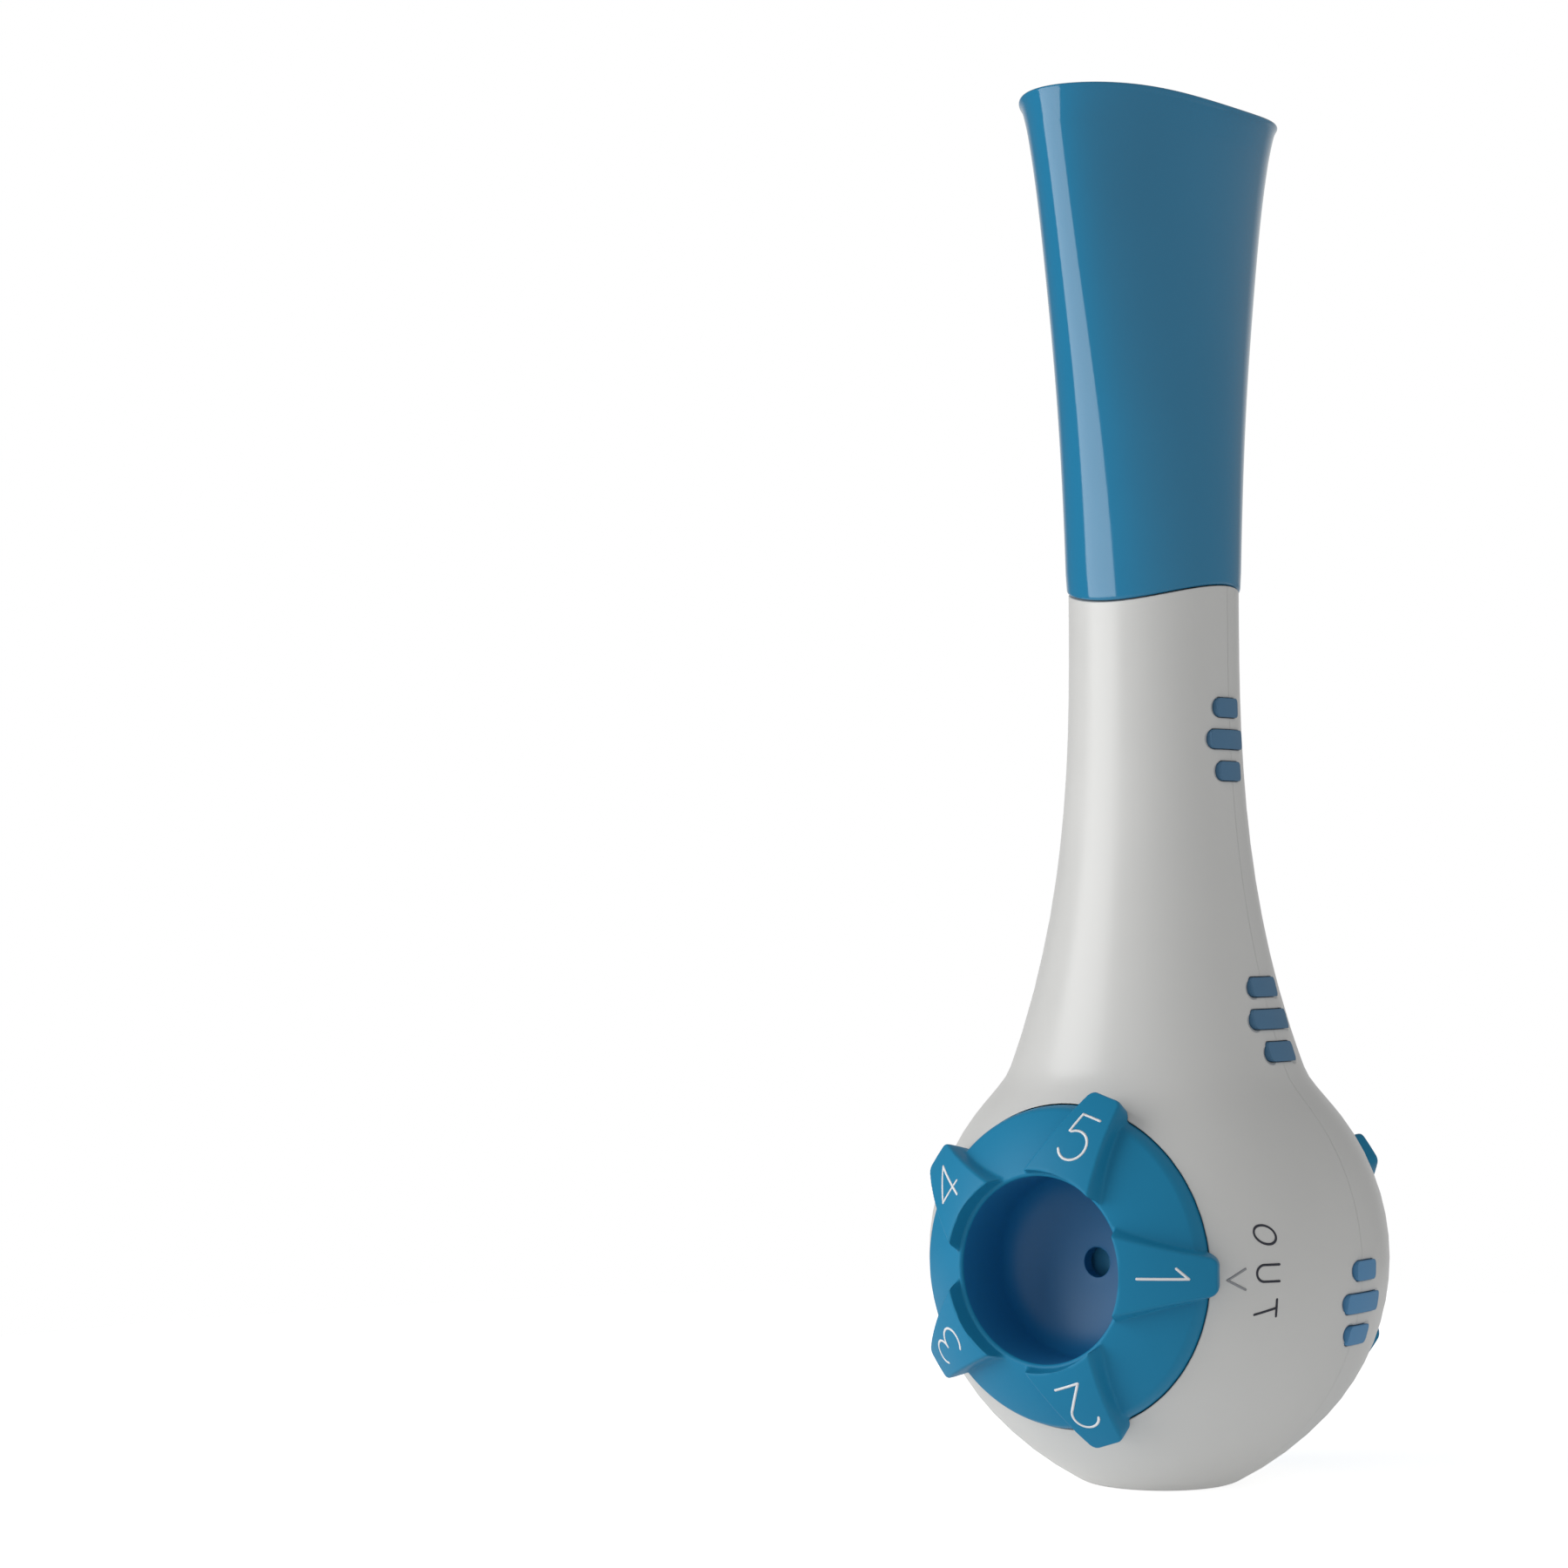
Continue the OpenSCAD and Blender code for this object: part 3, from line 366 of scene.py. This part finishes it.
def mouthpiece_path():
    """Half axes along Y and X, and height, up the outside, over the lip and down the passage."""
    outside = [
        (MOUTH_LOW_R + (LIP_A - MOUTH_LOW_R) * a, MOUTH_LOW_R + (LIP_B - MOUTH_LOW_R) * b,
         MOUTH_LOW_Z + (MOUTH_TOP_Z - MOUTH_LOW_Z) * up)
        for up, a, b in OUTER_SHARES
    ]
    lip = [
        (PASSAGE_A + LIP_GROWTH * grown, PASSAGE_B + LIP_GROWTH * grown,
         PASSAGE_TOP_Z + LIP_H * (up - RIM_FALL))
        for up, grown in LIP_SHARES
    ]
    passage = [
        (AIRWAY_R + (PASSAGE_A - AIRWAY_R) * grown, AIRWAY_R + (PASSAGE_B - AIRWAY_R) * grown,
         SOCKET_TOP_Z + (PASSAGE_TOP_Z - SOCKET_TOP_Z) * up)
        for up, grown in PASSAGE_SHARES
    ]
    path = smooth_path(outside + lip + passage, PATH_STEPS)
    path = faired(path, 1, FAIR_SHARES * PATH_STEPS, FAIR_PASSES)
    return [(a, b, min(z, MOUTH_TOP_Z)) for a, b, z in path if z > SKIN_START_Z]


def oval(half_x, half_y):
    """Places round an oval, from +X on."""
    turns = [math.tau * i / MOUTH_SIDES for i in range(MOUTH_SIDES)]
    return [(half_x * math.cos(t), half_y * math.sin(t)) for t in turns]


def build_mouthpiece():
    """Rings round the seam's edge, up the outside, down the passage and back along the socket's wall."""
    seam_rings = [(SOCKET_R, 0.0)]
    for k in range(CORNER_STEPS + 1):
        t = QUARTER * k / CORNER_STEPS
        seam_rings.append((MOUTH_LOW_R - SEAM_CORNER + SEAM_CORNER * math.sin(t),
                           SEAM_CORNER - SEAM_CORNER * math.cos(t)))
    points = []
    for radius, rise in seam_rings:
        points += [(x, y, seam_height(y) + rise) for x, y in oval(radius, radius)]
    for a, b, z in mouthpiece_path():
        points += [(x, y, z - lip_dip(x, z)) for x, y in oval(b, a)]
    points += [(x, y, SOCKET_TOP_Z) for x, y in oval(SOCKET_R, SOCKET_R)]
    faces = grid_faces(len(points) // MOUTH_SIDES, MOUTH_SIDES)
    obj = mesh_object("mouthpiece_skin", points, faces, MOUTH_BLUE)
    mark_sharp_edges(obj.data, SKIN_CREASE)
    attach(obj, "mouthpiece")
    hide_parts("mouthpiece")


build_mouthpiece()


# Dials: the CAD form with softened fingers, a slightly proud disc and a dished cup floor

# Round corners of a finger's tip, and the width of its leaning side outside and inside its outline
FINGER_CORNER = 1.0 * MM
FINGER_LEAN = 0.5 * MM
FINGER_EDGE = 0.5 * MM
# Rounded lip of the cup, and the slope from it up to a finger
CUP_LIP = 0.4 * MM
CUP_LIP_R = CUP_R + CUP_LIP
ROOT_SLOPE = 0.5 * MM
# The cup's floor rises to its wall along a superellipse, whose first point clears the outlet
DISH_H = 4.5 * MM
DISH_TOP_T = FLOOR_T + DISH_H
DISH_POWER = 2.5
DISH_START_R = 1.1 * OUTLET_R
# The disc leaves only a narrow gap round it, and stands proud of the bulb with a rounded edge
RIM_R = DISC_R + 0.15 * MM
DISC_RISE = 1.0 * MM
DISC_EDGE = 0.6 * MM
DISC_TOP_R = BULB_R + DISC_RISE
LIP_FOOT_T = math.sqrt(DISC_TOP_R**2 - CUP_LIP_R**2) - CUP_LIP
# Divisions of a dial's skin: round it, over its top, up its dish and round its lip. The shares place
# the rings of the cup's wall and of the disc's back, and a finger's tip is found in steps of tilt.
DIAL_SIDES = 600
TOP_RINGS = 80
DISH_STEPS = 24
LIP_STEPS = 12
WALL_SHARES = (0.35, 0.7)
BACK_SHARE = 0.85
TILT_STEP = 0.0015


def dial_frame(side):
    """Axes of a dial: towards its pointer, up, and out of the bulb."""
    out = Vector(HINGES[f"{side}_dial"]["axis"])
    up = Vector((0, 0, 1))
    return up.cross(out), up, out


def finger_inside(rho, angle):
    """How far a point lies inside the outline of the nearest finger, below zero outside it."""
    pitch = math.tau / SETTINGS
    angle = (angle + pitch / 2) % pitch - pitch / 2
    along, across = rho * math.cos(angle), abs(rho * math.sin(angle))
    taper = (FINGER_ROOT_W - FINGER_TIP_W) / (FINGER_TIP_R - FINGER_ROOT_R)
    side = (FINGER_TIP_W + (FINGER_TIP_R - along) * taper - across) / math.hypot(1, taper)
    tip = FINGER_TIP_R - along
    cut = math.hypot(max(0, FINGER_CORNER - side), max(0, FINGER_CORNER - tip))
    return FINGER_CORNER - cut if cut else min(side, tip)


def finger_share(tilt, angle):
    """Share of the fingers' height at a tilt from the dial's axis."""
    inside = finger_inside(FINGER_TOP_R * math.sin(tilt), angle)
    return smooth_step((inside + FINGER_LEAN) / (FINGER_LEAN + FINGER_EDGE))


def on_arc(radius, rho):
    """Place on a sphere about the bulb's centre: its distances from a dial's axis and along it."""
    return rho, math.sqrt(radius**2 - rho**2)


def cup_section():
    """From the outlet's lower edge over the dished floor and up the cup's wall."""
    section = [(OUTLET_R, FLOOR_LOW_T), (OUTLET_R, FLOOR_T)]
    first = math.asin((DISH_START_R / CUP_R) ** (DISH_POWER / 2))
    for k in range(DISH_STEPS + 1):
        t = first + (QUARTER - first) * k / DISH_STEPS
        section.append((CUP_R * math.sin(t) ** (2 / DISH_POWER),
                        FLOOR_T + DISH_H * (1 - max(0, math.cos(t)) ** (2 / DISH_POWER))))
    section += [(CUP_R, DISH_TOP_T + (LIP_FOOT_T - DISH_TOP_T) * share) for share in WALL_SHARES]
    return section


def lip_section():
    """Round the cup's lip."""
    turns = [QUARTER * k / LIP_STEPS for k in range(LIP_STEPS + 1)]
    return [(CUP_R + CUP_LIP * (1 - math.cos(t)), LIP_FOOT_T + CUP_LIP * math.sin(t)) for t in turns]


def top_section(angle):
    """From the lip to the foot of the disc's rim, or over a finger to its tip beyond the rim."""
    edge = math.asin(RIM_R / BULB_R)
    reach = edge
    while finger_share(reach + TILT_STEP, angle) * FINGER_H > FINGER_CLEAR + TILT_STEP * BULB_R:
        reach += TILT_STEP
    start, end_r = math.asin(CUP_LIP_R / FINGER_TOP_R), BULB_R * math.sin(reach)
    edge_drop = on_arc(DISC_TOP_R, RIM_R)[1] - on_arc(BULB_R, RIM_R)[1]
    section = []
    for k in range(1, TOP_RINGS + 1):
        along = math.sin(QUARTER * k / TOP_RINGS)
        low_r = CUP_LIP_R + (end_r - CUP_LIP_R) * along
        tilt = start + (reach - start) * along
        share = finger_share(tilt, angle) * smooth_step(FINGER_TOP_R * (tilt - start) / ROOT_SLOPE)
        near_edge = min(1, max(0, 1 - (RIM_R - low_r) / DISC_EDGE))
        low_t = on_arc(DISC_TOP_R, low_r)[1] - edge_drop * (1 - math.sqrt(1 - near_edge**2))
        section.append((low_r * (1 - share) + FINGER_TOP_R * math.sin(tilt) * share,
                        low_t * (1 - share) + FINGER_TOP_R * math.cos(tilt) * share))
    section.append(on_arc(BULB_R + FINGER_CLEAR if reach > edge else BULB_R - DISC_EDGE, RIM_R))
    return section


def back_section():
    """Under the disc and down the journal to the metering disc and the outlet."""
    section = [on_arc(BULB_R - CAP_TH, rho) for rho in (RIM_R, BACK_SHARE * RIM_R, JOURNAL_R)]
    return [*section, (JOURNAL_R, METER_TOP_T), (CUP_R, METER_TOP_T), (CUP_R, FLOOR_LOW_T)]


def build_dial(side):
    x_axis, y_axis, z_axis = dial_frame(side)
    cup, lip, back = cup_section(), lip_section(), back_section()
    points = []
    for i in range(DIAL_SIDES):
        angle = math.tau * i / DIAL_SIDES
        radial = x_axis * math.cos(angle) + y_axis * math.sin(angle)
        section = cup + lip + top_section(angle) + back
        points += [CENTRE + radial * rho + z_axis * t for rho, t in section]
    count = len(points) // DIAL_SIDES
    obj = mesh_object(f"{side}_dial_skin", points, grid_faces(DIAL_SIDES, count), DIAL_BLUE)
    # The cup's faces take the darker blue, painted shade in the hollow
    obj.data.materials.append(CUP_PAINTED_SHADE_BLUE)
    for i, polygon in enumerate(obj.data.polygons):
        polygon.material_index = 1 if i % count < len(cup) else 0
    mark_sharp_edges(obj.data, SKIN_CREASE)
    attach(obj, f"{side}_dial")
    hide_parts(f"{side}_dial")


for side in SIDES:
    build_dial(side)


# Printed marks, each stroke a low bead of ink

DIGIT_H = 5.5 * MM
DIGIT_STROKE = 0.3 * MM
DIGIT_ARC = 15.95 * MM
LETTER_H = 2.7 * MM
LETTER_PITCH = 4.1 * MM
LETTER_STROKE = 0.26 * MM
LABEL_ARC = 26.1 * MM
CHEVRON_ARC = 22.4 * MM
CHEVRON_H = 2.2 * MM
CHEVRON_ANGLE = math.radians(-1.7)
WORDS = {"exhale": "OUT", "inhale": "IN"}

INK_H = 0.03 * MM
# Angles, in degrees, of the sections in a stroke's round end and of the points over its arch
END_ANGLES = (90, 66, 42, 18)
ARCH_ANGLES = (0, 22, 50, 90, 130, 158, 180)
ARCH_POWER = 0.5
# A stroke's very end keeps this much width and this share of its height, and reaches out by this
# share of half its width
END_W = 0.001 * MM
END_H_SHARE = 0.3
END_REACH = 0.999
# The foot of a stroke is a little narrower than its top
FOOT_SHARE = 0.98


def arc(cx, cy, rx, ry, a0, a1, steps=18):
    return [
        (cx + rx * math.cos(math.radians(a0 + (a1 - a0) * k / steps)),
         cy + ry * math.sin(math.radians(a0 + (a1 - a0) * k / steps)))
        for k in range(steps + 1)
    ]


# Strokes of each glyph in a box one high, x to the right and y up, about its middle
GLYPHS = {
    "1": [[(0.03, -0.5), (0.03, 0.5)], [(0.03, 0.5), (-0.17, 0.26)]],
    "2": [arc(0, 0.22, 0.27, 0.28, 155, -38), [(0.213, 0.048), (-0.26, -0.5)],
          [(-0.26, -0.5), (0.28, -0.5)]],
    "3": [arc(-0.02, 0.26, 0.24, 0.24, 150, -90), arc(-0.02, -0.24, 0.28, 0.26, 90, -150)],
    "4": [[(0.08, 0.5), (-0.33, -0.24)], [(-0.33, -0.24), (0.24, -0.24)], [(0.08, 0.5), (0.08, -0.5)]],
    "5": [[(0.22, 0.5), (-0.18, 0.5)], [(-0.18, 0.5), (-0.24, 0.08)],
          arc(-0.02, -0.18, 0.29, 0.32, 128, -148)],
    "O": [arc(0, 0, 0.36, 0.5, 0, 360, 36)],
    "U": [[(-0.33, 0.5), (-0.33, -0.17)], arc(0, -0.17, 0.33, 0.33, 180, 360), [(0.33, -0.17), (0.33, 0.5)]],
    "T": [[(-0.34, 0.5), (0.34, 0.5)], [(0, 0.5), (0, -0.5)]],
    "I": [[(0, 0.5), (0, -0.5)]],
    "N": [[(-0.34, -0.5), (-0.34, 0.5)], [(-0.34, 0.5), (0.34, -0.5)], [(0.34, -0.5), (0.34, 0.5)]],
    "chevron": [[(0.46, 0.5), (-0.46, 0)], [(-0.46, 0), (0.46, -0.5)]],
}


def resample(path, step):
    """Points at even steps along a flat path."""
    pts = [Vector((*p, 0)) for p in path]
    lengths = [(b - a).length for a, b in zip(pts, pts[1:])]
    total = sum(lengths)
    count = max(2, round(total / step))
    out, seg, done = [], 0, 0.0
    for k in range(count + 1):
        want = total * k / count
        while seg < len(lengths) - 1 and done + lengths[seg] < want:
            done += lengths[seg]
            seg += 1
        t = (want - done) / lengths[seg]
        out.append(pts[seg].lerp(pts[seg + 1], min(1, max(0, t))))
    return out


def bead(path, width, to_surface):
    """Closed low bead of ink along a flat path, with round ends; returns points and faces."""
    half = width / 2
    core = resample(path, width / 3)
    head = (core[0] - core[1]).normalized()
    tail = (core[-1] - core[-2]).normalized()
    ends = [(half * math.sin(a) * END_REACH, half * math.cos(a) + END_W)
            for a in map(math.radians, END_ANGLES)]
    rows = [(core[0] + head * reach, w) for reach, w in ends]
    rows += [(p, half) for p in core]
    rows += [(core[-1] + tail * reach, w) for reach, w in reversed(ends)]
    points = []
    for i, (p, w) in enumerate(rows):
        ahead = rows[min(i + 1, len(rows) - 1)][0] - rows[max(i - 1, 0)][0]
        across = Vector((-ahead.y, ahead.x, 0)).normalized()
        foot, normal = to_surface(p)
        left = to_surface(p + across * w)[0] - foot
        high = normal * INK_H
        fullness = min(1, w / half + END_H_SHARE)
        points += [foot + left * math.cos(a) + high * math.sin(a) ** ARCH_POWER * fullness
                   for a in map(math.radians, ARCH_ANGLES)]
        points += [foot - left * FOOT_SHARE - high, foot + left * FOOT_SHARE - high]
    ring = len(ARCH_ANGLES) + 2
    faces = [(a, d, c, b) for a, b, c, d in grid_faces(len(rows), ring, closed=False)]
    faces.append(tuple(range(ring)))
    faces.append(tuple(reversed(range((len(rows) - 1) * ring, len(rows) * ring))))
    return points, faces


def print_glyph(name, glyph, place, size, width, right, up, material, body):
    """Prints a glyph on a sphere about the bulb's centre. Its middle is at place."""
    radius = (place - CENTRE).length
    normal = (place - CENTRE).normalized()
    up = (up - normal * up.dot(normal)).normalized()
    right = (right - normal * right.dot(normal)).normalized()

    def to_surface(p):
        outward = (normal * radius + right * p.x + up * p.y).normalized()
        return CENTRE + outward * radius, outward

    points, faces = [], []
    for stroke in GLYPHS[glyph]:
        got, made = bead([(x * size, y * size) for x, y in stroke], width, to_surface)
        faces += [tuple(i + len(points) for i in f) for f in made]
        points += got
    obj = mesh_object(name, points, faces, material)
    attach(obj, body)


def on_sphere(side, arc_length, angle, radius):
    """Point on a sphere about the bulb's centre, and the outward direction in the dial's plane."""
    x_axis, y_axis, z_axis = dial_frame(side)
    radial = x_axis * math.cos(angle) + y_axis * math.sin(angle)
    t = arc_length / radius
    return CENTRE + (radial * math.sin(t) + z_axis * math.cos(t)) * radius, radial


def print_dial(side):
    """Digits on the fingers, and on the shell beside them the word and its chevron."""
    x_axis, y_axis, z_axis = dial_frame(side)
    for k in range(SETTINGS):
        place, radial = on_sphere(side, DIGIT_ARC, -math.tau * k / SETTINGS, FINGER_TOP_R)
        print_glyph(f"{side}_digit_{k + 1}", str(k + 1), place, DIGIT_H, DIGIT_STROKE,
                    radial.cross(z_axis), radial, WHITE_INK, f"{side}_dial")
    word = WORDS[side]
    turn_r = BULB_R * math.sin(LABEL_ARC / BULB_R)
    for i, letter in enumerate(word):
        offset = ((len(word) - 1) / 2 - i) * LETTER_PITCH
        place, _ = on_sphere(side, LABEL_ARC, offset / turn_r, BULB_R)
        print_glyph(f"{side}_word_{i + 1}", letter, place, LETTER_H, LETTER_STROKE,
                    -y_axis, x_axis, DARK_INK, "housing")
    place, _ = on_sphere(side, CHEVRON_ARC, CHEVRON_ANGLE, BULB_R)
    print_glyph(f"{side}_chevron", "chevron", place, CHEVRON_H, LETTER_STROKE,
                x_axis, y_axis, PALE_INK, "housing")


for side in SIDES:
    print_dial(side)


# Stage, light and camera

# Radiance of the room to the left and to the right of the object; its bright side lies a little low
ROOM_LEFT = 0.13
ROOM_RIGHT = 0.62
ROOM_AZIMUTH = math.radians(75)
ROOM_RISE = -0.05
# Radiance of the backdrop that the object mirrors, and the cosines between which it fades in
BACKDROP = 0.45
BACKDROP_FADE = (0.85, 0.97)
# Table: its paper, and its glow for the object and for the camera, to which it reads white
FLOOR_R = 0.22
FLOOR_SIDES = 96
FLOOR_GLOW = 0.23
FLOOR_WHITE = 0.72
PAPER_GREYS = (0.82, 0.84)
PAPER_NOISE = 6
# Key light: an upright panel to the left of the camera
KEY_AZIMUTH = math.radians(-42)
KEY_DISTANCE = 0.35
KEY_WIDTH = 0.3
KEY_HEIGHT = 0.33
KEY_RADIANCE = 3.5


def direction(azimuth, rise=0.0):
    return Vector((math.sin(azimuth), -math.cos(azimuth), rise)).normalized()


def math_node(tree, operation, first, second):
    """Math node of two values, each a socket or a number."""
    node = tree.nodes.new("ShaderNodeMath")
    node.operation = operation
    for socket, value in zip(node.inputs, (first, second)):
        if isinstance(value, (int, float)):
            socket.default_value = value
        else:
            tree.links.new(value, socket)
    return node.outputs["Value"]


def studio_world():
    world = bpy.data.worlds.new("studio")
    bpy.context.scene.world = world
    world.use_nodes = True
    tree = world.node_tree
    background = tree.nodes["Background"]
    background.inputs["Color"].default_value = (1, 1, 1, 1)
    coords = tree.nodes.new("ShaderNodeTexCoord")

    def facing(way):
        node = tree.nodes.new("ShaderNodeVectorMath")
        node.operation = "DOT_PRODUCT"
        node.inputs[1].default_value = way
        tree.links.new(coords.outputs["Generated"], node.inputs[0])
        return node.outputs["Value"]

    # The room is dim to the left, brighter to the right, and white for the camera
    room = remap(tree, facing(direction(ROOM_AZIMUTH, ROOM_RISE)), ROOM_LEFT, ROOM_RIGHT, -1, 1)
    backdrop = remap(tree, facing(direction(EYE_AZIMUTH + math.pi)), 0, BACKDROP, *BACKDROP_FADE)
    path = tree.nodes.new("ShaderNodeLightPath")
    mirrored = math_node(tree, "MULTIPLY", backdrop, path.outputs["Is Glossy Ray"])
    room = math_node(tree, "ADD", room, mirrored)
    seen = math_node(tree, "MAXIMUM", path.outputs["Is Camera Ray"], path.outputs["Is Transmission Ray"])
    tree.links.new(math_node(tree, "MAXIMUM", room, seen), background.inputs["Strength"])


def studio_floor():
    material = bpy.data.materials.new("floor_paper")
    material.use_nodes = True
    tree = material.node_tree
    shader = tree.nodes["Principled BSDF"]
    shader.inputs["Roughness"].default_value = 0.9
    shader.inputs["Specular IOR Level"].default_value = 0.1
    fibres = noise(tree, PAPER_NOISE, GRAIN_DETAIL)
    dark, light = [(grey,) * 3 for grey in PAPER_GREYS]
    tree.links.new(tinted(tree, fibres, dark, light), shader.inputs["Base Color"])
    shader.inputs["Emission Color"].default_value = (1, 1, 1, 1)
    path = tree.nodes.new("ShaderNodeLightPath")
    seen = math_node(tree, "MULTIPLY", path.outputs["Is Camera Ray"], FLOOR_WHITE - FLOOR_GLOW)
    tree.links.new(math_node(tree, "ADD", seen, FLOOR_GLOW), shader.inputs["Emission Strength"])
    turns = [math.tau * i / FLOOR_SIDES for i in range(FLOOR_SIDES)]
    points = [(FLOOR_R * math.cos(t), FLOOR_R * math.sin(t), 0) for t in turns]
    mesh_object("floor", points, [tuple(range(FLOOR_SIDES))], material)


def key_light():
    """Upright lit panel that faces the object and stands on the table's level."""
    back = direction(KEY_AZIMUTH)
    light = bpy.data.lights.new("key", "AREA")
    light.shape = "RECTANGLE"
    light.size = KEY_WIDTH
    light.size_y = KEY_HEIGHT
    light.energy = KEY_RADIANCE * math.pi * KEY_WIDTH * KEY_HEIGHT
    lamp = collection_link(bpy.data.objects.new("key", light))
    lamp.location = back * KEY_DISTANCE + Vector((0, 0, KEY_HEIGHT / 2))
    lamp.rotation_euler = (-back).to_track_quat("-Z", "Y").to_euler()
    lamp.visible_camera = False


def photo_camera():
    theta = EYE_AZIMUTH + CAMERA_YAW
    forward = Vector((-math.sin(theta) * math.cos(CAMERA_PITCH), math.cos(theta) * math.cos(CAMERA_PITCH),
                      math.sin(CAMERA_PITCH)))
    level = Vector((math.cos(theta), math.sin(theta), 0))
    upright = level.cross(forward)
    c, s = math.cos(CAMERA_ROLL), math.sin(CAMERA_ROLL)
    right = level * c + upright * s
    up = upright * c - level * s
    camera = bpy.data.cameras.new("camera")
    camera.lens = FOCAL_PX / PHOTO_PX * SENSOR_MM
    camera.sensor_width = SENSOR_MM
    camera.clip_start = CLIP_START
    obj = collection_link(bpy.data.objects.new("camera", camera))
    turn = Matrix((right, up, -forward)).transposed().to_4x4()
    place = direction(EYE_AZIMUTH) * EYE_DISTANCE + Vector((0, 0, EYE_HEIGHT))
    obj.matrix_world = Matrix.Translation(place) @ turn
    bpy.context.scene.camera = obj


bpy.context.scene.view_settings.view_transform = "Standard"
studio_world()
studio_floor()
key_light()
photo_camera()
